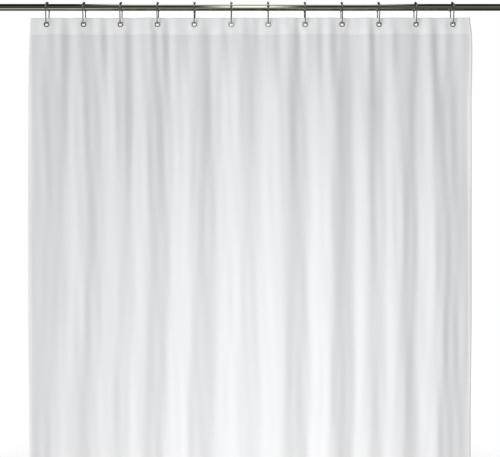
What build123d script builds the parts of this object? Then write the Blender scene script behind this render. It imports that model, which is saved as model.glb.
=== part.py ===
from build123d import *

import math
import os

# A shower curtain on a spring tension rod, hung from twelve roller-bead rings.
# Millimetres. The origin is on the rod's axis, at the wall face of the left pad.
# +X runs along the rod to the right wall, the curtain's front faces -Y, +Z is up.

# ---- driving dimensions ------------------------------------------------------

# the cloth as it is cut, and how it hangs
FLAT_HEIGHT = 1829.0          # 72 in
GROMMET_COUNT = 12
FLAT_PITCH = 152.4            # 6 in between grommets in the flat cloth
HUNG_SHARE = 0.97             # hung width over flat width, the rest goes into the folds
CLOTH = 0.4                   # thickness of one layer
LAYER_GAP = 0.05              # between two sewn layers
FOLD_FRONT = -6.5             # the cloth is this far in front of the rod's axis at a grommet
FOLD_BACK = 11.0              # and bows back to here in between, so that it balances
FLAT_AT_GROMMET = 13.0        # half width of the flat cloth at each grommet
HEADER_HEIGHT = 66.5
BOTTOM_HEM_HEIGHT = 25.4
SIDE_HEM_WIDTH = 12.0

# heights below the rod's axis
TOP_EDGE = 45.0
GROMMET_BELOW_EDGE = 26.0

# the grommets
GROMMET_RADIUS = 11.0
GROMMET_HOLE_RADIUS = 6.2
BARREL_RADIUS = 7.0
CLOTH_HOLE_RADIUS = 7.6
FLANGE_THICKNESS = 1.6
FLANGE_ROUNDING = 0.96
WASHER_THICKNESS = 0.9
WASHER_HOLE_RADIUS = 7.2
LIP_RADIUS = 7.9
LIP_THICKNESS = 0.5
CLOTH_CLEARANCE = 0.1         # grommet to cloth, on each side
LIP_CLEARANCE = 0.05          # the rolled lip to the washer

# the rings
WIRE_RADIUS = 2.0
BEAD_RADIUS = 5.0
BEAD_HOLE_RADIUS = 2.8
BEAD_TO_ROD = 0.4
SIDE_BEAD_DROP = 3.5          # the front and back beads' centres, below the rod's axis
SHOULDER_DROP = 13.0          # where the legs start to lean in, below the rod's axis
SHOULDER_RADIUS = 22.0
BOWL_RADIUS = 6.5             # the J that carries the grommet
BOWL_LEAD = 7.0               # straight wire above the bowl
RING_TO_GROMMET = 0.8         # at the middle of the bowl, less towards its sides
TIP_RISE = 8.0                # how far the J rises behind the cloth
TIP_RADIUS = 2.7              # ball on the J's tip
LATCH_LEAN = 2.0              # how far the back leg leans in on its way down
LATCH_CORNER_DROP = 48.0      # where it turns forward, below the rod's axis
LATCH_ASIDE = 4.6             # how far it passes beside the J's tip
LATCH_END_RADIUS = 2.3

# the rod
ROD_LENGTH = 2184.0           # 86 in, pad to pad
ROD_RADIUS = 12.7             # 1 in outer tube
TUBE_WALL = 0.8
INNER_TUBE_RADIUS = 11.5
OUTER_TUBE_END = 2114.0
INNER_TUBE_START = 1255.0
CAP_LENGTH = 40.0
CAP_WALL_RADIUS = 20.0
CAP_MOUTH_RADIUS = 15.2
CAP_FLOOR = 8.0               # cap material between the pad and the tube's end
CAP_FIT = 0.05                # radial clearance of a tube in its cap
CAP_RIM = 1.5                 # rounding of the cap's mouth
CAP_FLARE = 0.35              # slope of the cap's side where it meets the wall end
PAD_THICKNESS = 6.0
PAD_RADIUS = 21.5
PAD_SKIRT = 4.0               # how far the pad's rim reaches over the cap
PAD_CORNER = 1.2              # bevel round its wall face
GROOVE_RADII = (8.0, 14.0)    # two grip grooves in its wall face
GROOVE_WIDTH = 1.6
GROOVE_DEPTH = 1.0
SPRING_START = 1062.0
SPRING_WIRE_RADIUS = 0.9
SPRING_RADIUS = 10.6
SPRING_PITCH = 17.0
STOP_LENGTH = 20.0
STOP_HOLE_RADIUS = 3.0        # lets the air through

# ---- what follows from them --------------------------------------------------

PITCH = FLAT_PITCH * HUNG_SHARE
HUNG_WIDTH = GROMMET_COUNT * PITCH
MIDDLE = ROD_LENGTH / 2
FIRST_GROMMET = MIDDLE - PITCH * (GROMMET_COUNT - 1) / 2
GROMMET_X = [FIRST_GROMMET + PITCH * i for i in range(GROMMET_COUNT)]
GROMMET_Z = -TOP_EDGE - GROMMET_BELOW_EDGE
BOTTOM_EDGE = TOP_EDGE + FLAT_HEIGHT
FRONT_FACE = FOLD_FRONT - CLOTH / 2                          # of the cloth at a grommet
BACK_FACE = FOLD_FRONT + CLOTH / 2 + LAYER_GAP + CLOTH       # of the header band there
RING_RADIUS = ROD_RADIUS + BEAD_TO_ROD + BEAD_RADIUS
HOLE_TOP = GROMMET_Z + GROMMET_HOLE_RADIUS
BOWL_Z = HOLE_TOP - RING_TO_GROMMET - WIRE_RADIUS + BOWL_RADIUS
BOWL_FRONT = FOLD_FRONT - BOWL_RADIUS
BOWL_BACK = FOLD_FRONT + BOWL_RADIUS
TIP_Z = BOWL_Z + TIP_RISE

os.makedirs("parts", exist_ok=True)


def save(shape, node):
    """Writes one sub-part under its node's name."""
    export_step(shape, f"parts/{node}.step")


def turned(outline):
    """A solid turned about the rod's axis. The outline is (x, radius) points."""
    face = make_face(Polyline(*outline, close=True))
    return revolve(face, Axis.X, 360)


# ---- the rod -----------------------------------------------------------------

def tube(start, end, radius):
    """A straight thin-walled tube on the rod's axis."""
    inside = radius - TUBE_WALL
    return turned([(start, inside), (end, inside), (end, radius), (start, radius)])


def end_cap(tube_radius):
    """The cap on the left end: a cup for the tube that widens towards the wall."""
    wall_side = PAD_THICKNESS
    seat = wall_side + CAP_FLOOR
    mouth = wall_side + CAP_LENGTH
    bore = tube_radius + CAP_FIT
    rim_start = mouth - CAP_RIM
    rim_middle = CAP_RIM * (1 - math.cos(math.radians(45)))
    with BuildSketch(Plane.XY) as section:
        with BuildLine():
            Polyline(
                (wall_side, 0),
                (seat, 0),
                (seat, bore),
                (mouth, bore),
                (mouth, CAP_MOUTH_RADIUS - CAP_RIM),
            )
            ThreePointArc(
                (mouth, CAP_MOUTH_RADIUS - CAP_RIM),
                (mouth - rim_middle, CAP_MOUTH_RADIUS - rim_middle),
                (rim_start, CAP_MOUTH_RADIUS),
            )
            Spline(
                (rim_start, CAP_MOUTH_RADIUS),
                (seat + PAD_SKIRT, CAP_WALL_RADIUS),
                tangents=[(-1, 0), (-1, CAP_FLARE)],
            )
            Polyline(
                (seat + PAD_SKIRT, CAP_WALL_RADIUS),
                (wall_side, CAP_WALL_RADIUS),
                (wall_side, 0),
            )
        make_face()
    return revolve(section.sketch, Axis.X, 360)


def wall_pad():
    """The rubber pad on the left end, with a rim round the cap and two grip grooves."""
    rim_end = PAD_THICKNESS + PAD_SKIRT
    inside = CAP_WALL_RADIUS + CAP_FIT
    outline = [
        (0, 0),
        (0, PAD_RADIUS - PAD_CORNER),
        (PAD_CORNER, PAD_RADIUS),
        (rim_end, PAD_RADIUS),
        (rim_end, inside),
        (PAD_THICKNESS, inside),
        (PAD_THICKNESS, 0),
    ]
    pad = turned(outline)
    for radius in GROOVE_RADII:
        pad -= turned([
            (0, radius),
            (GROOVE_DEPTH, radius),
            (GROOVE_DEPTH, radius + GROOVE_WIDTH),
            (0, radius + GROOVE_WIDTH),
        ])
    return pad


def at_right_end(shape):
    """The same piece, turned round to face the right wall."""
    return mirror(shape, Plane.YZ.offset(MIDDLE))


def tension_spring():
    """The coil between the stop in the outer tube and the end of the inner tube."""
    start = SPRING_START + SPRING_WIRE_RADIUS
    length = INNER_TUBE_START - SPRING_WIRE_RADIUS - start
    path = Helix(pitch=SPRING_PITCH, height=length, radius=SPRING_RADIUS)
    wire_end = Plane(origin=path @ 0, z_dir=path % 0)
    coil = sweep(wire_end * Circle(SPRING_WIRE_RADIUS), path=path, is_frenet=True)
    return Location((start, 0, 0)) * (Rotation(0, 90, 0) * coil)


def spring_stop():
    """The plug crimped inside the outer tube, which the spring pushes against."""
    start = SPRING_START - STOP_LENGTH
    radius = ROD_RADIUS - TUBE_WALL - CAP_FIT
    return turned([
        (start, STOP_HOLE_RADIUS),
        (SPRING_START, STOP_HOLE_RADIUS),
        (SPRING_START, radius),
        (start, radius),
    ])


def make_rod():
    """Every piece of the rod, end to end."""
    tube_start = PAD_THICKNESS + CAP_FLOOR
    tube_end = ROD_LENGTH - PAD_THICKNESS - CAP_FLOOR
    save(tube(tube_start, OUTER_TUBE_END, ROD_RADIUS), "rod_outer_tube")
    save(tube(INNER_TUBE_START, tube_end, INNER_TUBE_RADIUS), "rod_inner_tube")
    save(end_cap(ROD_RADIUS), "left_end_cap")
    save(at_right_end(end_cap(INNER_TUBE_RADIUS)), "right_end_cap")
    save(wall_pad(), "left_wall_pad")
    save(at_right_end(wall_pad()), "right_wall_pad")
    save(tension_spring(), "tension_spring")
    save(spring_stop(), "spring_stop")


# ---- the rings ---------------------------------------------------------------

def side_point(y, z, x=0.0):
    """A point of the ring, given in the plane across the rod."""
    return (x, y, z)


def carrying_leg():
    """From the front of the rod straight down to the grommet, through it and up behind it."""
    leg = FilletPolyline(
        side_point(-RING_RADIUS, 0),
        side_point(-RING_RADIUS, -SHOULDER_DROP),
        side_point(BOWL_FRONT, BOWL_Z + BOWL_LEAD),
        side_point(BOWL_FRONT, BOWL_Z),
        radius=[SHOULDER_RADIUS, SHOULDER_RADIUS],
    )
    bowl = ThreePointArc(
        side_point(BOWL_FRONT, BOWL_Z),
        side_point(FOLD_FRONT, BOWL_Z - BOWL_RADIUS),
        side_point(BOWL_BACK, BOWL_Z),
    )
    rise = Line(side_point(BOWL_BACK, BOWL_Z), side_point(BOWL_BACK, TIP_Z))
    return leg, bowl, rise


def latching_leg():
    """From the back of the rod down behind the cloth, to a hook that catches the J's tip."""
    under_tip = TIP_Z - TIP_RADIUS - LATCH_END_RADIUS
    lowest = under_tip - 2 * WIRE_RADIUS
    return FilletPolyline(
        side_point(RING_RADIUS, 0),
        side_point(RING_RADIUS, -SHOULDER_DROP),
        side_point(RING_RADIUS - LATCH_LEAN, -LATCH_CORNER_DROP),
        side_point(BOWL_BACK + BOWL_RADIUS, lowest, LATCH_ASIDE),
        side_point(BOWL_BACK - LATCH_END_RADIUS / 2, under_tip, LATCH_ASIDE),
        radius=[SHOULDER_RADIUS, BOWL_RADIUS, 2 * WIRE_RADIUS],
    )


def ring_wire():
    """One wire: the latching leg, the arch over the rod, and the leg with the J."""
    arch = ThreePointArc(
        side_point(-RING_RADIUS, 0),
        side_point(0, RING_RADIUS),
        side_point(RING_RADIUS, 0),
    )
    leg, bowl, rise = carrying_leg()
    back = latching_leg()
    front_section = Plane(origin=arch @ 0, z_dir=(0, 0, -1)) * Circle(WIRE_RADIUS)
    back_section = Plane(origin=arch @ 1, z_dir=(0, 0, -1)) * Circle(WIRE_RADIUS)
    front = sweep(front_section, path=Wire([*leg.edges(), *bowl.edges(), *rise.edges()]))
    over = sweep(front_section, path=Wire(arch.edges()))
    latch = sweep(back_section, path=Wire(back.edges()))
    tip_ball = Location(rise @ 1) * Sphere(TIP_RADIUS)
    latch_end = Location(back @ 1) * Sphere(LATCH_END_RADIUS)
    return front + over + latch + tip_ball + latch_end


def ring_beads():
    """The beads threaded on the wire: one rolls on top of the rod, two guide its sides."""
    upright = Sphere(BEAD_RADIUS) - Cylinder(BEAD_HOLE_RADIUS, 4 * BEAD_RADIUS)
    level = Rotation(90, 0, 0) * upright
    return Compound([
        Location((0, -RING_RADIUS, -SIDE_BEAD_DROP)) * upright,
        Location((0, 0, RING_RADIUS)) * level,
        Location((0, RING_RADIUS, -SIDE_BEAD_DROP)) * upright,
    ])


# ---- the grommets ------------------------------------------------------------

def across_cloth(outline):
    """A solid turned about the grommet's axis. The outline is (radius, y) points."""
    face = make_face(Polyline(*outline, close=True))
    return Location((0, 0, GROMMET_Z)) * revolve(face, Axis.Y, 360)


def grommet():
    """The eyelet: a rounded flange in front, a barrel through the cloth and a rolled lip."""
    flange_back = FRONT_FACE - CLOTH_CLEARANCE
    flange_front = flange_back - FLANGE_THICKNESS
    washer_back = BACK_FACE + CLOTH_CLEARANCE + WASHER_THICKNESS
    lip_front = washer_back + LIP_CLEARANCE
    lip_back = lip_front + LIP_THICKNESS
    eyelet = across_cloth([
        (GROMMET_HOLE_RADIUS, flange_front),
        (GROMMET_RADIUS, flange_front),
        (GROMMET_RADIUS, flange_back),
        (BARREL_RADIUS, flange_back),
        (BARREL_RADIUS, lip_front),
        (LIP_RADIUS, lip_front),
        (LIP_RADIUS, lip_back),
        (GROMMET_HOLE_RADIUS, lip_back),
    ])
    front_edges = eyelet.edges().group_by(Axis.Y)[0]
    return fillet(front_edges, FLANGE_ROUNDING)


def grommet_washer():
    """The ring behind the cloth that the eyelet's lip is clinched over."""
    front = BACK_FACE + CLOTH_CLEARANCE
    back = front + WASHER_THICKNESS
    return across_cloth([
        (WASHER_HOLE_RADIUS, front),
        (GROMMET_RADIUS, front),
        (GROMMET_RADIUS, back),
        (WASHER_HOLE_RADIUS, back),
    ])


def make_rings():
    """Twelve rings, each with its beads and the grommet that it carries."""
    sub_parts = {
        "ring_wire": ring_wire(),
        "ring_beads": ring_beads(),
        "grommet": grommet(),
        "grommet_washer": grommet_washer(),
    }
    for number, x in enumerate(GROMMET_X, start=1):
        for name, shape in sub_parts.items():
            save(Location((x, 0, 0)) * shape, f"{name}_{number:02d}")


# ---- the cloth ---------------------------------------------------------------

def fold_line(shift):
    """The cloth's line seen from above, moved back by shift.

    It is flat behind each grommet's flange and bows back in between, and at both
    edges it ends at the back of a half fold.
    """
    front = FOLD_FRONT + shift
    back = FOLD_BACK + shift
    along = Vector(1, 0)
    edges = []
    for x in GROMMET_X:
        before = (x - PITCH / 2, back)
        flat_start = (x - FLAT_AT_GROMMET, front)
        flat_end = (x + FLAT_AT_GROMMET, front)
        after = (x + PITCH / 2, back)
        edges.append(Spline(before, flat_start, tangents=[along, along]))
        edges.append(Line(flat_start, flat_end))
        edges.append(Spline(flat_end, after, tangents=[along, along]))
    return edges


def hanging_layer(shift, top, bottom):
    """One layer of folded cloth between two heights below the rod's axis."""
    front = fold_line(shift)
    back = fold_line(shift + CLOTH)
    ends = [Line(front[0] @ 0, back[0] @ 0), Line(front[-1] @ 1, back[-1] @ 1)]
    outline = Wire([e for edge in (*front, *back, *ends) for e in edge.edges()])
    section = Location((0, 0, -bottom)) * make_face(outline)
    return extrude(section, bottom - top, dir=(0, 0, 1))


def grommet_holes():
    """The holes punched through the header, one for each grommet."""
    punch = Rotation(90, 0, 0) * Cylinder(CLOTH_HOLE_RADIUS, 2 * FLAT_AT_GROMMET)
    return [Location((x, FOLD_FRONT, GROMMET_Z)) * punch for x in GROMMET_X]


def side_strips(layer):
    """What is left of a layer in the two narrow strips along its edges."""
    reach = 4 * (FOLD_BACK - FOLD_FRONT)
    height = 2 * BOTTOM_EDGE
    strip = Box(SIDE_HEM_WIDTH, reach, height)
    inset = (HUNG_WIDTH - SIDE_HEM_WIDTH) / 2
    pair = [Location((MIDDLE + side * inset, 0, 0)) * strip & layer for side in (-1, 1)]
    return Compound([solid for piece in pair for solid in piece.solids()])


def make_cloth():
    """The panel and the layers that its hems fold up behind it."""
    panel_shift = -CLOTH / 2
    hem_shift = CLOTH / 2 + LAYER_GAP
    header_end = TOP_EDGE + HEADER_HEIGHT
    hem_start = BOTTOM_EDGE - BOTTOM_HEM_HEIGHT
    holes = grommet_holes()
    panel = hanging_layer(panel_shift, TOP_EDGE, BOTTOM_EDGE)
    header = hanging_layer(hem_shift, TOP_EDGE, header_end)
    save(panel - holes, "curtain_panel")
    save(header - holes, "header_band")
    save(hanging_layer(hem_shift, hem_start, BOTTOM_EDGE), "bottom_hem")
    between = hanging_layer(hem_shift, header_end + LAYER_GAP, hem_start - LAYER_GAP)
    save(side_strips(between), "side_hems")


make_rod()
make_rings()
make_cloth()
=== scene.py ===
import math

import bpy
import numpy as np
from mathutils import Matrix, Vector


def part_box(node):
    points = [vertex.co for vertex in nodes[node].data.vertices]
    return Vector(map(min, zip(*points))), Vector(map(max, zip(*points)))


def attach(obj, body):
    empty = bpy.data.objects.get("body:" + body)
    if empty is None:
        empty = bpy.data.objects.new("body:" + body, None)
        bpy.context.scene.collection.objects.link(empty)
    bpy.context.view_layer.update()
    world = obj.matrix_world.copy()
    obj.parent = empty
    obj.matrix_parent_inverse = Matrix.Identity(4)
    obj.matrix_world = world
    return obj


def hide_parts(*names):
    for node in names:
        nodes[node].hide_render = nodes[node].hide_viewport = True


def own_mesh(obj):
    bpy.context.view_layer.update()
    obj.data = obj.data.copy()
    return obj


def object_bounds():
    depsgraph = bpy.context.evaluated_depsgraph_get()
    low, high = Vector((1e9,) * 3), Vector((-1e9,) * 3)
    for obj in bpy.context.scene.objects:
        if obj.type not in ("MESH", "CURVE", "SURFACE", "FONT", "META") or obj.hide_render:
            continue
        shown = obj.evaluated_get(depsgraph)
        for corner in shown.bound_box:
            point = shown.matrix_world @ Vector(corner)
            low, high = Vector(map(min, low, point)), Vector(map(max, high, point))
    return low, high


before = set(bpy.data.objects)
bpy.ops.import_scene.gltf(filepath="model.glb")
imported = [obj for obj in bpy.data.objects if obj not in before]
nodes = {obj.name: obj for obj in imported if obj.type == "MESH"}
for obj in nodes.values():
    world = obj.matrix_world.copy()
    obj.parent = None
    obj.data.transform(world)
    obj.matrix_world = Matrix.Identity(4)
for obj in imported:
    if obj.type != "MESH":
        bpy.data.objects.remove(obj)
cad_low, cad_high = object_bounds()

# A white fabric shower curtain, hung by twelve roller rings from a tension rod.
# Metres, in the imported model's frame: +X along the rod, the front faces -Y, +Z up.
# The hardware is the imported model's own shapes with new materials. The cloth is made
# here: an uneven set of soft folds, sharper tucks in the header, hems and stitching.

# ---- places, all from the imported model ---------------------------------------

RING_COUNT = 12
RING_NUMBERS = [f"{n:02d}" for n in range(1, RING_COUNT + 1)]

rod_middle = (cad_low.x + cad_high.x) / 2
panel_low, panel_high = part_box("curtain_panel")
grommet_boxes = [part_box(f"grommet_{n}") for n in RING_NUMBERS]
grommet_x = [(low.x + high.x) / 2 for low, high in grommet_boxes]
grommet_z = (grommet_boxes[0][0].z + grommet_boxes[0][1].z) / 2
pitch = grommet_x[1] - grommet_x[0]

top_z = panel_high.z
seam_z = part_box("header_band")[0].z
hem_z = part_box("bottom_hem")[1].z
bottom_z = panel_low.z
half_width = RING_COUNT / 2 * pitch

# ---- the cloth's own sizes ---------------------------------------------------

FLAT_PITCH = 0.1524           # 6 in between grommets in the flat cloth
FLAT_WIDTH = FLAT_PITCH * RING_COUNT
CLOTH = 0.0004                # thickness of one layer
LAYER_GAP = 0.00005           # between two sewn layers
SIDE_HEM_WIDTH = 0.012
HOLE_RADIUS = 0.008           # punched hole, under the eyelet's flange

# Folds at three heights, as (place, slope): places are grommet spacings from the middle,
# and the cloth is the same on both sides of it. A slope of -1 turns the cloth fully to the
# left, towards the key light, and 1 turns it away. The header is tucked between grommets.
HEADER_FOLDS = (
    (0.05, 0.2), (0.38, -0.85), (0.70, 0.5), (0.95, -0.8), (1.20, 1.3), (1.42, -0.2),
    (1.62, -0.7), (1.83, 0.5), (2.05, -0.7), (2.30, 0.65), (2.42, 0.05), (2.60, 0.8),
    (2.80, -0.2), (3.10, -0.8), (3.30, 1.3), (3.45, -0.05), (3.78, -0.65), (3.95, 0.7),
    (4.15, -0.25), (4.50, 0.6), (4.73, -0.8), (5.00, 0.9), (5.22, -0.5), (5.40, 0.5),
    (5.60, -0.6), (5.80, -0.2), (6.00, -0.5),
)
UPPER_FOLDS = (
    (0.00, 0.65), (0.48, -1.1), (0.85, -0.4), (1.20, 1.25), (1.45, 0.25), (1.72, -0.8),
    (1.90, -0.25), (2.08, -0.6), (2.45, 1.05), (2.65, 0.85), (2.85, -0.25), (3.02, -0.8),
    (3.30, 1.15), (3.50, 0.6), (3.80, -0.85), (4.10, 0.2), (4.38, 0.85), (4.78, -0.8),
    (5.15, 1.05), (5.35, -0.05), (5.50, 0.7), (5.75, -0.05), (6.00, -0.6),
)
LOWER_FOLDS = (
    (0.00, 0.2), (0.50, -0.85), (0.75, -0.6), (1.10, 0.8), (1.45, 0.6), (1.75, -1.0),
    (2.00, -0.85), (2.40, 1.0), (2.65, 0.8), (3.00, -0.9), (3.35, 0.55), (3.82, -0.65),
    (4.30, 0.9), (4.80, -0.8), (5.30, 0.65), (5.55, 0.45), (6.00, 0.2),
)
LEFT_STRETCH = 1.055          # at the bottom the left folds stand this much further out
FOLD_SLOPE = 0.33             # the slope of a full fold
HEADER_ENDS = (0.02, 0.29)    # metres below the seam, over which each set gives way
UPPER_ENDS = (0.25, 0.74)     # to the next
LOWER_ENDS = (0.95, 1.55)     # and the lower one to its stretched form
TOP_EDGE_SHARE = 0.45         # how deep the header's folds are at its top edge
HANGS_AT = 0.001              # mean depth of the folds, below the rod's axis
FLAT_RADIUS = 0.012           # flat cloth at a grommet
FLAT_REACH = 0.034            # and where that ends
WRINKLE_COUNT = 26
WRINKLE_HEIGHT = 0.00016
WRINKLE_HEIGHT_SHARE = (0.5, 1.3)
WRINKLES_PER_METRE = (9, 26)
WRINKLE_LEAN = (-1.6, 1.6)    # waves per metre of height
WRINKLE_SEED = 12

# how the free side edges lie a little further out than the gathered cloth between the
# grommets, and draw in near the header and again near the bottom
EDGE_OUTSET = 0.0042
EDGE_INSET_TOP = 0.0125
EDGE_INSET_LENGTH = 0.105
EDGE_INSET_BOTTOM = 0.0035
EDGE_BOTTOM_ENDS = (1.2, 1.6)  # metres below the top, over which that comes in
EDGE_REACH = 0.42             # in grommet spacings

# the mesh's grid
COLUMNS_PER_PITCH = 32
ROWS_TO_GROMMET = 6
ROWS_TO_SEAM = 10
ROWS_OF_BODY = 104
ROWS_OF_HEM = 5
ROW_SPREAD = 1.2              # above 1, the body's rows stand closer near the seam
HOLE_CELLS = 2                # cells cut out on each side of a grommet's centre

rng = np.random.default_rng(WRINKLE_SEED)
first_grommet_column = COLUMNS_PER_PITCH // 2
grommet_columns = first_grommet_column + COLUMNS_PER_PITCH * np.arange(RING_COUNT)


def smooth(low, high, value):
    """0 below low, 1 above high, and a smooth rise between."""
    t = np.clip((value - low) / (high - low), 0, 1)
    return t * t * (3 - 2 * t)


# ---- the cloth's surface -----------------------------------------------------

def grid_lines():
    """The grid's columns, in grommet spacings from the middle, and its rows, as heights."""
    half = RING_COUNT / 2
    columns = np.linspace(-half, half, RING_COUNT * COLUMNS_PER_PITCH + 1)
    body = np.linspace(0, 1, ROWS_OF_BODY + 1)[1:] ** ROW_SPREAD
    rows = np.concatenate([
        np.linspace(top_z, grommet_z, ROWS_TO_GROMMET + 1),
        np.linspace(grommet_z, seam_z, ROWS_TO_SEAM + 1)[1:],
        seam_z + (hem_z - seam_z) * body,
        np.linspace(hem_z, bottom_z, ROWS_OF_HEM + 1)[1:],
    ])
    return columns, rows


def fold_depth(columns, folds, left_stretch=1.0):
    """Depth across the cloth of one set of folds, found from their slopes.

    The slope eases from each place's to the next. The depth is what the slopes add up to,
    brought level from side to side and shared out evenly before and behind.
    """
    places = [place for place, _ in folds]
    slopes = [slope * FOLD_SLOPE for _, slope in folds]
    away = np.where(columns < 0, -columns / left_stretch, columns)
    last = np.clip(np.searchsorted(places, away), 1, len(places) - 1)
    start = np.take(places, last - 1)
    share = np.clip((away - start) / (np.take(places, last) - start), 0, 1)
    eased = (1 - np.cos(math.pi * share)) / 2
    slope = np.take(slopes, last - 1) * (1 - eased) + np.take(slopes, last) * eased
    step = np.diff(columns) * pitch
    depth = np.concatenate([[0], np.cumsum((slope[1:] + slope[:-1]) / 2 * step)])
    depth -= np.interp(columns, [columns[0], columns[-1]], [depth[0], depth[-1]])
    return depth - depth.mean()


def header_depth(columns):
    """The header's folds, brought back to nothing at each grommet."""
    depth = fold_depth(columns, HEADER_FOLDS)
    return depth - np.interp(columns, columns[grommet_columns], depth[grommet_columns])


def wrinkle_depth(x, z):
    """Shallow upright wrinkles all over."""
    depth = np.zeros_like(x)
    for _ in range(WRINKLE_COUNT):
        across = rng.uniform(*WRINKLES_PER_METRE)
        along = rng.uniform(*WRINKLE_LEAN)
        start = rng.uniform(0, 2 * math.pi)
        height = WRINKLE_HEIGHT * rng.uniform(*WRINKLE_HEIGHT_SHARE)
        depth += height * np.sin(2 * math.pi * (across * x + along * z) + start)
    return depth


def cloth_surface():
    """The middle of the panel's cloth, as three arrays of one row for each height."""
    columns, rows = grid_lines()
    u, z = np.meshgrid(columns, rows)
    x = rod_middle + u * pitch
    below_top = top_z - z
    past_header = smooth(*HEADER_ENDS, seam_z - z)
    past_upper = smooth(*UPPER_ENDS, seam_z - z)
    stretched = smooth(*LOWER_ENDS, seam_z - z)
    at_grommets = panel_low.y + CLOTH / 2
    y = at_grommets + (HANGS_AT - at_grommets) * past_header
    stiffened = TOP_EDGE_SHARE + (1 - TOP_EDGE_SHARE) * smooth(0, top_z - seam_z, below_top)
    y += header_depth(columns) * (1 - past_header) * stiffened
    y += fold_depth(columns, UPPER_FOLDS) * past_header * (1 - past_upper)
    y += fold_depth(columns, LOWER_FOLDS) * past_header * past_upper * (1 - stretched)
    y += fold_depth(columns, LOWER_FOLDS, LEFT_STRETCH) * stretched
    y += wrinkle_depth(x, z)
    for place in grommet_x:
        away = np.hypot(x - place, z - grommet_z)
        flat = 1 - smooth(FLAT_RADIUS, FLAT_REACH, away)
        y = y * (1 - flat) + at_grommets * flat
    inset = EDGE_INSET_TOP * np.exp(-below_top / EDGE_INSET_LENGTH) - EDGE_OUTSET
    inset += EDGE_INSET_BOTTOM * smooth(*EDGE_BOTTOM_ENDS, below_top)
    half = RING_COUNT / 2
    x = x - np.sign(u) * inset * smooth(half - EDGE_REACH, half, np.abs(u))
    return x, y, z


def normals_of(x, y, z):
    """Unit normals of the surface, towards the back."""
    points = np.stack([x, y, z], axis=-1)
    along = np.gradient(points, axis=1)
    down = np.gradient(points, axis=0)
    normal = np.cross(along, -down)
    normal /= np.linalg.norm(normal, axis=-1, keepdims=True)
    return np.where(normal[..., 1:2] < 0, -normal, normal)


cloth_x, cloth_y, cloth_z = cloth_surface()
cloth_normal = normals_of(cloth_x, cloth_y, cloth_z)
cloth_points = np.stack([cloth_x, cloth_y, cloth_z], axis=-1)
seam_row = ROWS_TO_GROMMET + ROWS_TO_SEAM
hem_row = seam_row + ROWS_OF_BODY


def link(name, mesh):
    """A new object with that mesh, in the scene."""
    obj = bpy.data.objects.new(name, mesh)
    bpy.context.scene.collection.objects.link(obj)
    return obj


def shade_smooth(mesh):
    """Smooth shading on every face."""
    mesh.polygons.foreach_set("use_smooth", [True] * len(mesh.polygons))
    mesh.update()


def punch(points, keep):
    """Opens the cloth at each grommet: drops the cells there and rounds their edge."""
    j = ROWS_TO_GROMMET
    for i in grommet_columns:
        centre = points[j, i].copy()
        keep[j - HOLE_CELLS:j + HOLE_CELLS, i - HOLE_CELLS:i + HOLE_CELLS] = False
        for dj in range(-HOLE_CELLS, HOLE_CELLS + 1):
            for di in range(-HOLE_CELLS, HOLE_CELLS + 1):
                if max(abs(di), abs(dj)) < HOLE_CELLS:
                    continue
                away = points[j + dj, i + di] - centre
                away[1] = 0
                points[j + dj, i + di] = centre + away * (HOLE_RADIUS / np.linalg.norm(away))


def add_flat_map(mesh, points):
    """A map in metres of flat cloth, which the weave follows."""
    across = (points[:, 0] - rod_middle) * FLAT_PITCH / pitch
    map_points = np.stack([across, points[:, 2]], axis=1)
    layer_map = mesh.uv_layers.new(name="flat_cloth")
    corners = np.zeros(len(mesh.loops), np.int32)
    mesh.loops.foreach_get("vertex_index", corners)
    layer_map.data.foreach_set("uv", map_points[corners].astype(np.float32).ravel())


def thicken(obj, name):
    """Gives a thin sheet the cloth's thickness, half on each side."""
    solidify = obj.modifiers.new("thickness", "SOLIDIFY")
    solidify.thickness = CLOTH
    solidify.offset = 0
    evaluated = obj.evaluated_get(bpy.context.evaluated_depsgraph_get())
    done = bpy.data.meshes.new_from_object(evaluated)
    obj.modifiers.clear()
    obj.data = done
    done.name = name
    shade_smooth(done)


def sheet_mesh(name, rows, columns, layer, holes=False):
    """A layer of cloth from the first to the last of those grid rows and columns.

    It is opened at the grommets if it has holes.
    """
    part = slice(rows[0], rows[1] + 1), slice(columns[0], columns[1] + 1)
    shift = layer * (CLOTH + LAYER_GAP)
    points = cloth_points[part] + cloth_normal[part] * shift
    keep = np.ones((points.shape[0] - 1, points.shape[1] - 1), bool)
    if holes:
        punch(points, keep)
    count = points.shape[1]
    j, i = np.nonzero(keep)
    corner = j * count + i
    faces = np.stack([corner, corner + 1, corner + count + 1, corner + count], axis=1)
    used = np.unique(faces)
    place = np.full(points.shape[0] * count, -1)
    place[used] = np.arange(len(used))
    used_points = points.reshape(-1, 3)[used]
    mesh = bpy.data.meshes.new(name)
    mesh.from_pydata(used_points.tolist(), [], place[faces].tolist())
    add_flat_map(mesh, used_points)
    sheet = link(name, mesh)
    thicken(sheet, name)
    return sheet


# ---- stitching ---------------------------------------------------------------

STITCH_PITCH = 0.0040
STITCH_LENGTH = 0.0030
THREAD_RADIUS = 0.00024
STITCH_SIDES = 5
STITCH_STEPS = (-0.5, 0.0, 0.5)   # along a stitch, in its lengths
STITCH_RISE = 0.00016         # of its middle, above its ends
STITCH_INSET = 0.0022         # of a line of stitches, from the facing's edge
LAYERS_SEWN = 2
STITCH_END_COLUMNS = 0.8      # from each side edge to the first stitch, in grid columns


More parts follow.
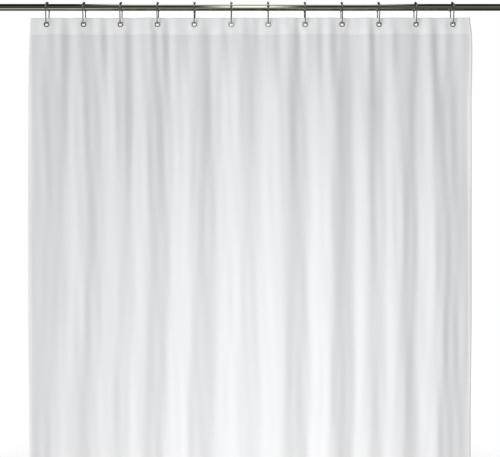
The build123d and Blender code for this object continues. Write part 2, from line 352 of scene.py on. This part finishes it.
def surface_at(j, i):
    """The cloth's point, normal and the directions along and down, at fractions of the grid."""
    j0 = np.clip(np.floor(j).astype(int), 0, cloth_points.shape[0] - 2)
    i0 = np.clip(np.floor(i).astype(int), 0, cloth_points.shape[1] - 2)
    fj = (j - j0)[:, None]
    fi = (i - i0)[:, None]

    def mixed(values):
        upper = values[j0, i0] * (1 - fi) + values[j0, i0 + 1] * fi
        lower = values[j0 + 1, i0] * (1 - fi) + values[j0 + 1, i0 + 1] * fi
        return upper * (1 - fj) + lower * fj

    along = cloth_points[j0, i0 + 1] - cloth_points[j0, i0]
    down = cloth_points[j0 + 1, i0] - cloth_points[j0, i0]
    return mixed(cloth_points), mixed(cloth_normal), along, down


def unit(vectors):
    """Each vector at length one."""
    return vectors / np.linalg.norm(vectors, axis=-1, keepdims=True)


def row_of(height):
    """The grid row, as a fraction, of each height."""
    rows = cloth_z[:, 0]
    return np.interp(-np.asarray(height, float), -rows, np.arange(len(rows)))


def stitch_rings(run, side):
    """Rings of thread round each stitch of a run, on the front (-1) or the back (1)."""
    j, i, goes_down = run
    centre, normal, along, down = surface_at(j, i)
    forward = unit(down if goes_down else along)
    outward = normal * side
    face = CLOTH / 2
    if side > 0:
        face += (LAYERS_SEWN - 1) * (CLOTH + LAYER_GAP)
    sideways = np.cross(forward, outward)
    angles = np.arange(STITCH_SIDES) * 2 * math.pi / STITCH_SIDES
    rings = []
    for step in STITCH_STEPS:
        lift = face + STITCH_RISE * (1 - (2 * step) ** 2)
        core = centre + outward * lift + forward * (step * STITCH_LENGTH)
        ring = [
            core + THREAD_RADIUS * (outward * math.cos(a) + sideways * math.sin(a))
            for a in angles
        ]
        rings.append(np.stack(ring, axis=1))
    return np.concatenate(rings, axis=1)


def stitch_faces(first):
    """The faces of one stitch, whose first vertex has that number."""
    faces = []
    for ring in range(len(STITCH_STEPS) - 1):
        for s in range(STITCH_SIDES):
            a = first + ring * STITCH_SIDES + s
            b = first + ring * STITCH_SIDES + (s + 1) % STITCH_SIDES
            faces.append((a, b, b + STITCH_SIDES, a + STITCH_SIDES))
    last = first + (len(STITCH_STEPS) - 1) * STITCH_SIDES
    faces.append(tuple(first + s for s in reversed(range(STITCH_SIDES))))
    faces.append(tuple(last + s for s in range(STITCH_SIDES)))
    return faces


def stitches(name, runs):
    """Thread laid along each run of (grid rows, grid columns, goes down), on both sides."""
    points = np.concatenate([stitch_rings(run, side) for run in runs for side in (-1, 1)])
    count = len(STITCH_STEPS) * STITCH_SIDES
    faces = []
    for n in range(len(points)):
        faces.extend(stitch_faces(n * count))
    mesh = bpy.data.meshes.new(name)
    mesh.from_pydata(points.reshape(-1, 3).tolist(), [], faces)
    shade_smooth(mesh)
    return link(name, mesh)


def level_run(height):
    """A line of stitches across the whole curtain."""
    columns = cloth_points.shape[1] - 1
    count = int(2 * half_width / STITCH_PITCH)
    i = np.linspace(STITCH_END_COLUMNS, columns - STITCH_END_COLUMNS, count)
    return np.full(count, float(row_of(height))), i, False


def upright_run(inset, start, end):
    """A line of stitches that far in from the left edge, or from the right one if below 0."""
    count = int(abs(end - start) / STITCH_PITCH)
    j = row_of(np.linspace(start, end, count))
    column = inset / pitch * COLUMNS_PER_PITCH
    if column < 0:
        column += cloth_points.shape[1] - 1
    return j, np.full(count, column), True


# ---- materials ---------------------------------------------------------------

class Nodes:
    """A node tree, with short calls to add nodes and join them."""

    def __init__(self, tree):
        self.tree = tree

    def add(self, kind, **settings):
        """A new node with those settings."""
        node = self.tree.nodes.new(kind)
        for key, value in settings.items():
            setattr(node, key, value)
        return node

    def join(self, source, target):
        """A link from an output socket to an input socket."""
        self.tree.links.new(source, target)

    def maths(self, operation, a, b=None):
        """A sum, product or function of sockets and numbers."""
        node = self.add("ShaderNodeMath", operation=operation)
        for socket, item in zip(node.inputs, (a, b)):
            if item is None:
                continue
            if isinstance(item, (int, float)):
                socket.default_value = item
            else:
                self.join(item, socket)
        return node.outputs[0]

    def noise(self, coordinates, scale, detail=2.0, roughness=0.5, stretch=(1, 1, 1)):
        """Fractal noise over coordinates, finer along an axis that is stretched more."""
        mapping = self.add("ShaderNodeMapping")
        mapping.inputs["Scale"].default_value = stretch
        self.join(coordinates, mapping.inputs["Vector"])
        node = self.add("ShaderNodeTexNoise")
        node.inputs["Scale"].default_value = scale
        node.inputs["Detail"].default_value = detail
        node.inputs["Roughness"].default_value = roughness
        self.join(mapping.outputs[0], node.inputs["Vector"])
        return node.outputs["Fac"]

    def ramp(self, factor, *stops, interpolation="LINEAR"):
        """A colour for each factor, from (place, colour) stops."""
        node = self.add("ShaderNodeValToRGB")
        ramp = node.color_ramp
        ramp.interpolation = interpolation
        while len(ramp.elements) < len(stops):
            ramp.elements.new(0.5)
        for element, (place, colour) in zip(ramp.elements, stops):
            element.position = place
            element.color = (*colour, 1)
        self.join(factor, node.inputs[0])
        return node.outputs[0]

    def bump(self, height, strength, distance, under=None):
        """A normal bent by a height, over another bump if there is one."""
        node = self.add("ShaderNodeBump")
        node.inputs["Strength"].default_value = strength
        node.inputs["Distance"].default_value = distance
        self.join(height, node.inputs["Height"])
        if under is not None:
            self.join(under, node.inputs["Normal"])
        return node.outputs[0]

    def mixed(self, factor, before, after):
        """One colour that gives way to another as the factor goes from 0 to 1."""
        node = self.add("ShaderNodeMix", data_type="RGBA")
        sockets = [socket for socket in node.inputs if socket.enabled]
        for source, socket in zip((factor, before, after), sockets):
            self.join(source, socket)
        return [socket for socket in node.outputs if socket.enabled][0]

    def span(self, factor, low, high):
        """A number that goes from low to high as the factor goes from 0 to 1."""
        node = self.add("ShaderNodeMapRange")
        self.join(factor, node.inputs["Value"])
        node.inputs["To Min"].default_value = low
        node.inputs["To Max"].default_value = high
        return node.outputs[0]

    def eased(self, amount, start, end, low=0.0, high=1.0):
        """A number that eases from low to high as an amount goes from start to end."""
        node = self.add("ShaderNodeMapRange", interpolation_type="SMOOTHSTEP")
        self.join(amount, node.inputs["Value"])
        node.inputs["From Min"].default_value = start
        node.inputs["From Max"].default_value = end
        node.inputs["To Min"].default_value = low
        node.inputs["To Max"].default_value = high
        return node.outputs[0]


class MaterialNodes(Nodes):
    """A new material's node tree, with its principled shader."""

    def __init__(self, name):
        self.material = bpy.data.materials.new(name)
        self.material.use_nodes = True
        super().__init__(self.material.node_tree)
        self.shader = self.tree.nodes["Principled BSDF"]

    def drive(self, **sources):
        """Sockets that drive the shader's inputs, by name."""
        for key, source in sources.items():
            self.join(source, self.shader.inputs[key.replace("_", " ")])

    def fix(self, **values):
        """Values that are the same all over the surface, by name."""
        for key, value in values.items():
            self.shader.inputs[key.replace("_", " ")].default_value = value


def grey(value, tint=(1, 1, 1)):
    """A grey of that brightness, with a tint."""
    return tuple(value * t for t in tint)


CLOTH_TINT = (0.982, 0.990, 1.0)
SINGLE_WHITE = 0.80
SINGLE_DARKEST = 0.975        # share of that in the cloth's darker patches
# painted light: the doubled cloth's base colour is painted whiter, in place of the light that
# two layers hold back
DOUBLE_PAINTED_WHITE = 0.88
DOUBLE_DARKEST = 0.985
THREAD_PITCH = 0.00055        # of the weave
SLUBS_DOWN = (900, 60, 1)     # noise drawn out along the threads that run down the cloth
SLUBS_ACROSS = (60, 900, 1)   # and along those that run across it
WEAVE_SHARE = 0.35            # of the weave's relief beside the slubs'
CLOUD_SHARE = 0.7             # of the shade's slow patches
SLUB_SHARE = 0.15             # and of its slubs
PATCHES = (0.25, 0.75)        # from the darkest mottling to the lightest


def cloth_material():
    """Plain-woven white polyester: threads both ways, slubs, and faint uneven shade.

    Where the cloth is sewn in two layers it lets less light through, so it looks whiter; that
    light is painted into its colour, which is whiter there, since the shader itself lets no
    light through.
    """
    n = MaterialNodes("woven_cloth")
    place = n.add("ShaderNodeUVMap", uv_map="flat_cloth").outputs[0]
    split = n.add("ShaderNodeSeparateXYZ")
    n.join(place, split.inputs[0])
    across, height = split.outputs[0], split.outputs[1]
    per_metre = 2 * math.pi / THREAD_PITCH
    slub_down = n.noise(place, scale=1.0, detail=3.0, roughness=0.6, stretch=SLUBS_DOWN)
    slub_across = n.noise(place, scale=1.0, detail=3.0, roughness=0.6, stretch=SLUBS_ACROSS)
    threads = n.maths("ADD", slub_down, slub_across)
    warp = n.maths("SINE", n.maths("MULTIPLY", across, per_metre))
    weft = n.maths("SINE", n.maths("MULTIPLY", height, per_metre))
    weave = n.maths("MULTIPLY", n.maths("MULTIPLY", warp, weft), WEAVE_SHARE)
    relief = n.maths("ADD", weave, threads)
    crumple = n.noise(place, scale=22.0, detail=4.0, roughness=0.55, stretch=(1.6, 0.7, 1))
    soft = n.bump(crumple, strength=0.35, distance=0.0012)
    woven = n.bump(relief, strength=0.30, distance=0.00006, under=soft)
    clouds = n.noise(place, scale=5.0, detail=3.0, roughness=0.5, stretch=(1.5, 0.6, 1))
    mottled = n.maths(
        "ADD",
        n.maths("MULTIPLY", clouds, CLOUD_SHARE),
        n.maths("MULTIPLY", threads, SLUB_SHARE),
    )
    darker, lighter = PATCHES
    single = n.ramp(
        mottled,
        (darker, grey(SINGLE_WHITE * SINGLE_DARKEST, CLOTH_TINT)),
        (lighter, grey(SINGLE_WHITE, CLOTH_TINT)),
    )
    # the doubled cloth in a whiter colour: painted light, for the light that two layers hold
    # back
    double_painted_white = n.ramp(
        mottled,
        (darker, grey(DOUBLE_PAINTED_WHITE * DOUBLE_DARKEST, CLOTH_TINT)),
        (lighter, grey(DOUBLE_PAINTED_WHITE, CLOTH_TINT)),
    )
    in_header = n.maths("GREATER_THAN", height, seam_z)
    in_hem = n.maths("LESS_THAN", height, hem_z)
    side_start = FLAT_WIDTH / 2 - SIDE_HEM_WIDTH
    at_side = n.maths("GREATER_THAN", n.maths("ABSOLUTE", across), side_start)
    painted_whiter_where_doubled = n.maths("MAXIMUM", n.maths("MAXIMUM", in_header, in_hem), at_side)
    n.drive(Base_Color=n.mixed(painted_whiter_where_doubled, single, double_painted_white), Normal=woven)
    n.drive(Roughness=n.span(threads, low=0.72, high=0.88))
    n.fix(Sheen_Weight=0.12, Sheen_Roughness=0.45, Specular_IOR_Level=0.25)
    return n.material


def thread_material():
    """Twisted polyester thread, a little whiter and shinier than the cloth."""
    n = MaterialNodes("sewing_thread")
    place = n.add("ShaderNodeTexCoord").outputs["Object"]
    fibre = n.noise(place, scale=2600.0, detail=3.0, roughness=0.6)
    shade = n.ramp(fibre, (0.2, grey(0.74, CLOTH_TINT)), (0.8, grey(0.86, CLOTH_TINT)))
    n.drive(Base_Color=shade, Normal=n.bump(fibre, strength=0.5, distance=0.0001))
    n.drive(Roughness=n.span(fibre, low=0.45, high=0.65))
    return n.material


def metal_material(name, colour, worn, smoothest, roughest, stretch, metallic=1.0):
    """Polished metal: fine scratches along the polish, smudges and small worn spots.

    Satin plating is a little less than fully metallic.
    """
    n = MaterialNodes(name)
    place = n.add("ShaderNodeTexCoord").outputs["Object"]
    scratches = n.noise(place, scale=1.0, detail=4.0, roughness=0.65, stretch=stretch)
    smudges = n.noise(place, scale=38.0, detail=4.0, roughness=0.6)
    patches = n.maths("MULTIPLY", smudges, scratches)
    shade = n.ramp(patches, (0.12, worn), (0.34, colour))
    n.drive(Base_Color=shade, Normal=n.bump(scratches, strength=0.08, distance=0.00001))
    n.drive(Roughness=n.span(patches, low=smoothest, high=roughest))
    n.fix(Metallic=metallic)
    return n.material


def moulded_material(name, dark, light, smoothest, roughest, grain):
    """Moulded plastic or rubber: a fine grained skin with dusty lighter patches."""
    n = MaterialNodes(name)
    place = n.add("ShaderNodeTexCoord").outputs["Object"]
    skin = n.noise(place, scale=grain, detail=3.0, roughness=0.6)
    dust = n.noise(place, scale=60.0, detail=5.0, roughness=0.6)
    shade = n.ramp(dust, (0.35, dark), (0.75, light))
    n.drive(Base_Color=shade, Normal=n.bump(skin, strength=0.35, distance=0.00012))
    n.drive(Roughness=n.span(dust, low=smoothest, high=roughest))
    return n.material


ROD_COLOUR = (0.74, 0.735, 0.61)
CHROME = grey(0.80)
DRAWN_ALONG = (6, 900, 900)   # scratches along the rod

woven_cloth = cloth_material()
thread = thread_material()
rod_metal = metal_material(
    "rod_metal", ROD_COLOUR, worn=grey(0.9, ROD_COLOUR),
    smoothest=0.03, roughest=0.09, stretch=DRAWN_ALONG,
)
ring_chrome = metal_material(
    "ring_chrome", CHROME, worn=grey(0.9, CHROME),
    smoothest=0.04, roughest=0.10, stretch=(300, 300, 300),
)
eyelet_metal = metal_material(
    "eyelet_metal", grey(0.86), worn=grey(0.72),
    smoothest=0.14, roughest=0.30, stretch=(260, 260, 260), metallic=0.88,
)
bead_metal = metal_material(
    "bead_metal", grey(0.95, CHROME), worn=grey(0.8, CHROME),
    smoothest=0.05, roughest=0.12, stretch=(250, 250, 250),
)
spring_steel = metal_material(
    "spring_steel", grey(0.55), worn=grey(0.42),
    smoothest=0.25, roughest=0.4, stretch=(500, 500, 500),
)
cap_plastic = moulded_material(
    "cap_plastic", dark=grey(0.022), light=grey(0.040),
    smoothest=0.30, roughest=0.45, grain=900.0,
)
pad_rubber = moulded_material(
    "pad_rubber", dark=grey(0.016), light=grey(0.045),
    smoothest=0.70, roughest=0.90, grain=1600.0,
)


def paint(obj, material):
    """Gives an object one material in place of any it has."""
    obj.data.materials.clear()
    obj.data.materials.append(material)


for number in RING_NUMBERS:
    paint(nodes[f"ring_wire_{number}"], ring_chrome)
    paint(nodes[f"ring_beads_{number}"], bead_metal)
    paint(nodes[f"grommet_{number}"], eyelet_metal)
    paint(nodes[f"grommet_washer_{number}"], eyelet_metal)
for name in ("rod_outer_tube", "rod_inner_tube"):
    paint(nodes[name], rod_metal)
for name in ("left_end_cap", "right_end_cap", "spring_stop"):
    paint(nodes[name], cap_plastic)
for name in ("left_wall_pad", "right_wall_pad"):
    paint(nodes[name], pad_rubber)
paint(nodes["tension_spring"], spring_steel)

# ---- the cloth's pieces ------------------------------------------------------

PANEL, FACING = 0, 1          # layers of cloth: the facings lie behind the panel

last_row = cloth_points.shape[0] - 1
last_column = cloth_points.shape[1] - 1
hem_cells = round(SIDE_HEM_WIDTH / pitch * COLUMNS_PER_PITCH)
whole_width = (0, last_column)
between_hems = (seam_row + 1, hem_row - 1)
right_edge = (last_column - hem_cells, last_column)

curtain = sheet_mesh("curtain_cloth", (0, last_row), whole_width, PANEL, holes=True)
header = sheet_mesh("header_facing", (0, seam_row), whole_width, FACING, holes=True)
bottom_hem = sheet_mesh("bottom_hem_facing", (hem_row, last_row), whole_width, FACING)
left_hem = sheet_mesh("left_side_hem", between_hems, (0, hem_cells), FACING)
right_hem = sheet_mesh("right_side_hem", between_hems, right_edge, FACING)
header_stitches = stitches("header_stitching", [level_run(seam_z + STITCH_INSET)])
hem_stitches = stitches("bottom_hem_stitching", [level_run(hem_z - STITCH_INSET)])
side_run = SIDE_HEM_WIDTH - STITCH_INSET
side_stitches = stitches("side_hem_stitching", [
    upright_run(side_run, seam_z, hem_z),
    upright_run(-side_run, seam_z, hem_z),
])

for obj, material, slot in (
    (curtain, woven_cloth, "curtain_cloth"),
    (header, woven_cloth, "header_cloth"),
    (bottom_hem, woven_cloth, "curtain_cloth"),
    (left_hem, woven_cloth, "curtain_cloth"),
    (right_hem, woven_cloth, "curtain_cloth"),
    (header_stitches, thread, "header_cloth"),
    (hem_stitches, thread, "curtain_cloth"),
    (side_stitches, thread, "curtain_cloth"),
):
    paint(obj, material)
    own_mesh(obj)
    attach(obj, "curtain")

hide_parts("curtain_panel")
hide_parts("header_band")
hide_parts("bottom_hem")
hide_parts("side_hems")
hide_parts("side_hems")

# The spring shortens as the rod is pressed in; here it is a piece of its own with the same
# coils.
spring = link("coil_spring", nodes["tension_spring"].data.copy())
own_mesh(spring)
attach(spring, "rod")
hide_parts("tension_spring")

# ---- the studio --------------------------------------------------------------

CAMERA_DISTANCE = 2.008       # in front of the rod's axis
CAMERA_BELOW_ROD = 0.888
CAMERA_ASIDE = 0.001
LENS = 36.0                   # mm
SENSOR = 36.0

camera_data = bpy.data.cameras.new("camera")
camera_data.lens = LENS
camera_data.sensor_width = SENSOR
camera = link("camera", camera_data)
camera.location = (rod_middle + CAMERA_ASIDE, -CAMERA_DISTANCE, -CAMERA_BELOW_ROD)
camera.rotation_euler = (math.pi / 2, 0, 0)
bpy.context.scene.camera = camera
bpy.context.scene.view_settings.view_transform = "Standard"

# The two side lights' angles: to the left of straight ahead, or of straight behind for the
# back light, and above level.
KEY_FROM_LEFT = math.radians(62)
KEY_ABOVE = math.radians(2)
KEY_STRENGTH = 1.50
SOFTNESS = math.radians(24)   # how wide each looks
BACK_FROM_LEFT = math.radians(55)
BACK_ABOVE = math.radians(12)
BACK_STRENGTH = 1.10
FILL_POWER = 9.0
FILL_SIZE = 0.9
FILL_PLACE = (rod_middle, -1.6, -1.26)
EVEN_FILL = 0.476             # brightness all round, for everything but reflections


def aim(obj, direction):
    """Turns a lamp so that it shines along a direction."""
    obj.rotation_euler = Vector(direction).to_track_quat("-Z", "Y").to_euler()


def side_light(name, strength, from_left, above, towards_back):
    """Soft light from far off on the left, which the metal doesn't mirror.

    It falls on the front where towards_back is 1, and on the back where it is -1.
    """
    lamp_data = bpy.data.lights.new(name, "SUN")
    lamp_data.energy = strength
    lamp_data.angle = SOFTNESS
    lamp = link(name, lamp_data)
    level = math.cos(above)
    aim(lamp, (
        math.sin(from_left) * level,
        math.cos(from_left) * level * towards_back,
        -math.sin(above),
    ))
    lamp.visible_glossy = False


side_light("key", KEY_STRENGTH, KEY_FROM_LEFT, KEY_ABOVE, 1)
side_light("back_light", BACK_STRENGTH, BACK_FROM_LEFT, BACK_ABOVE, -1)

fill_data = bpy.data.lights.new("fill", "AREA")
fill_data.shape = "DISK"
fill_data.size = FILL_SIZE
fill_data.energy = FILL_POWER
fill = link("fill", fill_data)
fill.location = FILL_PLACE
aim(fill, (0, 1, 0))
fill.visible_glossy = False
fill.visible_camera = False

# What polished metal reflects: strips of light and shade at each elevation, in degrees
# from straight ahead of the front, up being positive. The brightness of each is given in
# the middle, a little aside, half way to the left, half way to the right, and at the sides.
STRIPS = (
    (-180, 0.04, 0.04, 0.05, 0.05, 0.03),
    (-107, 0.02, 0.01, 0.06, 0.02, 0.03),
    (-88, 0.04, 0.04, 0.22, 0.04, 0.03),
    (-65, 0.05, 0.34, 0.78, 0.10, 0.05),
    (-48, 0.38, 0.24, 0.20, 0.10, 0.05),
    (-29, 0.85, 0.17, 0.01, 0.11, 0.03),
    (-12, 1.20, 0.05, 0.05, 0.12, 0.03),
    (6, 1.75, 0.01, 0.15, 0.24, 0.02),
    (26, 0.80, 0.08, 0.02, 0.04, 0.02),
    (46, 0.36, 0.32, 0.00, 0.00, 0.02),
    (75, 0.70, 0.75, 0.01, 0.01, 0.02),
    (98, 1.60, 1.60, 0.08, 0.05, 0.03),
    (130, 1.20, 1.10, 0.04, 0.03, 0.03),
    (180, 0.04, 0.04, 0.05, 0.05, 0.03),
)
# the sideways part of the direction over which each gives way to the next
GIVE_WAY = ((0.02, 0.10), (0.20, 0.31), (0.55, 0.75))
LEFT_TO_RIGHT = (-0.05, 0.05)


def strip_stops(column):
    """One column of the strips, as the stops of a ramp right round the rod."""
    return [((strip[0] + 180) / 360, grey(strip[column])) for strip in STRIPS]


def reflected_strips(n):
    """The strips' brightness in each direction."""
    direction = n.add("ShaderNodeTexCoord").outputs["Generated"]
    split = n.add("ShaderNodeSeparateXYZ")
    n.join(direction, split.inputs[0])
    to_right, to_back, upwards = split.outputs
    elevation = n.maths("ARCTAN2", upwards, n.maths("MULTIPLY", to_back, -1.0))
    place = n.maths("ADD", n.maths("DIVIDE", elevation, 2 * math.pi), 0.5)
    middle, aside, left, right, at_side = [
        n.ramp(place, *strip_stops(column), interpolation="EASE")
        for column in range(1, len(STRIPS[0]))
    ]
    sideways = n.maths("ABSOLUTE", to_right)
    half_way = n.mixed(n.eased(to_right, *LEFT_TO_RIGHT), left, right)
    reflected = middle
    for ends, further in zip(GIVE_WAY, (aside, half_way, at_side)):
        reflected = n.mixed(n.eased(sideways, *ends), reflected, further)
    return reflected


def studio_world():
    """White behind the object, a soft even fill, and light strips for reflections."""
    world = bpy.data.worlds.new("studio")
    bpy.context.scene.world = world
    world.use_nodes = True
    world.cycles.sampling_method = "NONE"
    world.node_tree.nodes.clear()
    n = Nodes(world.node_tree)
    strips = n.add("ShaderNodeBackground")
    n.join(reflected_strips(n), strips.inputs["Color"])
    even = n.add("ShaderNodeBackground")
    even.inputs["Color"].default_value = (1, 1, 1, 1)
    even.inputs["Strength"].default_value = EVEN_FILL
    white = n.add("ShaderNodeBackground")
    white.inputs["Color"].default_value = (1, 1, 1, 1)
    rays = n.add("ShaderNodeLightPath")
    light = even
    for ray, background in (("Is Glossy Ray", strips), ("Is Camera Ray", white)):
        choice = n.add("ShaderNodeMixShader")
        n.join(rays.outputs[ray], choice.inputs[0])
        n.join(light.outputs[0], choice.inputs[1])
        n.join(background.outputs[0], choice.inputs[2])
        light = choice
    output = n.add("ShaderNodeOutputWorld")
    n.join(light.outputs[0], output.inputs[0])


studio_world()

FLOOR_BELOW_CURTAIN = 0.11
FLOOR_HALF_LENGTH = 1.5
FLOOR_HALF_DEPTH = 1.0
FLOOR_FADE = (0.35, 1.0)      # of the way to its edge, over which it fades out
FLOOR_GLOW = 0.24             # a faint light of its own, so that it stays pale


def studio_floor():
    """A pale floor whose edge fades out into the white background."""
    corners = [(-1, -1, 0), (1, -1, 0), (1, 1, 0), (-1, 1, 0)]
    mesh = bpy.data.meshes.new("studio_floor")
    mesh.from_pydata(corners, [], [(0, 1, 2, 3)])
    floor = link("studio_floor", mesh)
    floor.location = (rod_middle, 0, bottom_z - FLOOR_BELOW_CURTAIN)
    floor.scale = (FLOOR_HALF_LENGTH, FLOOR_HALF_DEPTH, 1)
    n = MaterialNodes("studio_floor")
    place = n.add("ShaderNodeTexCoord").outputs["Object"]
    radius = n.add("ShaderNodeVectorMath", operation="LENGTH")
    n.join(place, radius.inputs[0])
    speckle = n.noise(place, scale=90.0, detail=4.0, roughness=0.6)
    shade = n.ramp(speckle, (0.3, grey(0.88)), (0.7, grey(0.92)))
    fade = n.eased(radius.outputs["Value"], *FLOOR_FADE, low=1.0, high=0.0)
    n.drive(Base_Color=shade, Alpha=fade)
    n.fix(Roughness=0.8, Emission_Color=(1, 1, 1, 1), Emission_Strength=FLOOR_GLOW)
    mesh.materials.append(n.material)
    floor.visible_glossy = False


studio_floor()
